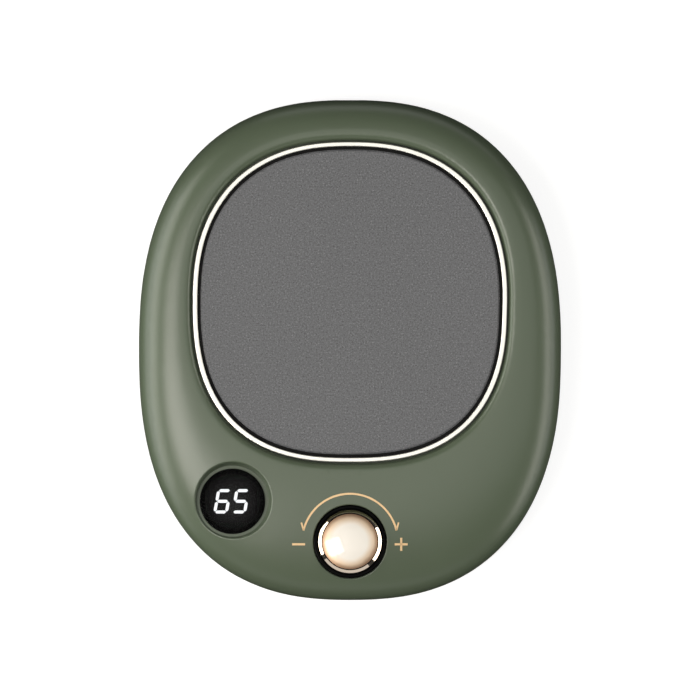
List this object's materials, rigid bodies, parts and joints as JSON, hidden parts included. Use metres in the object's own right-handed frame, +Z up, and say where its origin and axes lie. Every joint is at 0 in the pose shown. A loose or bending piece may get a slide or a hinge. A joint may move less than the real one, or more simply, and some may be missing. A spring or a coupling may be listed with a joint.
{
  "type": "electric mug warmer",
  "caption": "Pebble-shaped desktop mug warmer with a heated glass plate, a round temperature display and a push-and-turn knob.",
  "frame": {"origin": "middle of the footprint, on the surface the feet stand on", "axes": "+Z up, -Y the front with the knob, +Y the back with the power inlet, +X right as seen from the front"},
  "size_m": [0.13, 0.154, 0.0314],
  "materials": {
    "olive_shell": "fine satin texture, olive green",
    "dark_base": "fine matt texture, near black",
    "foot_rubber": "soft matt rubber",
    "screw_steel": "dark zinc plated",
    "plated_trim": "polished champagne plating",
    "black_silicone": "smooth black silicone",
    "printed_glass": "toughened glass, opaque speckled grey print behind",
    "spreader_aluminium": "mill finish",
    "film_amber": "amber film",
    "pad_felt": "white needled felt",
    "plain_steel": "zinc plated sheet",
    "contact_brass": "plain brass",
    "cutout_black": "moulded black",
    "lead_white": "white silicone sleeve",
    "lead_red": "red silicone sleeve",
    "lead_black": "black sleeve",
    "board_green": "green solder mask",
    "chip_black": "moulded epoxy",
    "tin_plate": "tin plated",
    "ferrite_gray": "dark grey ferrite",
    "connector_white": "natural nylon",
    "inlet_black": "moulded black",
    "smoked_window": "dark smoked acrylic, polished",
    "module_black": "matt black face",
    "lit_white": "lit white light guide",
    "unlit_gray": "unlit light guide",
    "encoder_brown": "phenolic moulding",
    "rotor_white": "natural acetal",
    "bezel_black": "polished black",
    "skirt_champagne": "polished champagne plating",
    "cap_champagne": "satin champagne plating"
  },
  "bodies": {
    "case": {"upper_shell": "olive_shell", "base_cover": "dark_base", "rubber_feet": "foot_rubber", "case_screws": "screw_steel", "trim_ring": "plated_trim", "plate_gasket": "black_silicone", "heating_plate": "printed_glass", "heat_spreader": "spreader_aluminium", "heater_film": "film_amber", "insulation_pad": "pad_felt", "retaining_plate": "plain_steel", "retaining_screws": "screw_steel", "heater_tabs": "contact_brass", "thermal_cutout": "cutout_black", "temperature_sensor": "cutout_black", "heater_leads": "lead_white", "cutout_leads": "lead_red", "sensor_leads": "lead_black", "control_board": "board_green", "board_screws": "screw_steel", "controller_chip": "chip_black", "chip_legs": "tin_plate", "power_transistor": "chip_black", "capacitor": "spreader_aluminium", "inductor": "ferrite_gray", "buzzer": "chip_black", "chip_parts": "ferrite_gray", "harness_socket": "connector_white", "harness_plug": "connector_white", "supply_socket": "connector_white", "supply_plug": "connector_white", "supply_leads": "lead_black", "inlet_board": "board_green", "inlet_board_screws": "screw_steel", "inlet_body": "inlet_black", "inlet_pin": "tin_plate", "inlet_spring": "tin_plate", "inlet_tails": "tin_plate", "display_tape": "black_silicone", "display_window": "smoked_window", "display_module": "module_black", "lit_segments": "lit_white", "unlit_segments": "unlit_gray", "display_pins": "tin_plate", "encoder_base": "encoder_brown", "encoder_housing": "plain_steel", "encoder_pins": "tin_plate", "push_spring": "plain_steel", "knob_bezel": "bezel_black"},
    "rotor": {"encoder_rotor": "rotor_white"},
    "knob": {"encoder_shaft": "spreader_aluminium", "knob_insert": "rotor_white", "knob_skirt": "skirt_champagne", "knob_cap": "cap_champagne"},
    "plunger": {"push_plunger": "contact_brass"}
  },
  "joints": [
    {"name": "knob_turn", "type": "hinge", "parent": "case", "child": "rotor", "pos_m": [0, -0.059, 0.015], "axis": [0, 0, 1], "continuous": true},
    {"name": "knob_push", "type": "slide", "parent": "rotor", "child": "knob", "axis": [0, 0, -1], "range_m": [0, 0.0005], "stiffness_N_per_m": 2000, "springref_m": -0.0005},
    {"name": "switch_push", "type": "slide", "parent": "case", "child": "plunger", "axis": [0, 0, -1], "range_m": [0, 0.0005], "deforming": ["push_spring"]}
  ],
  "couplings": [
    {"joint": "switch_push", "follows": "knob_push", "ratio": 1}
  ]
}
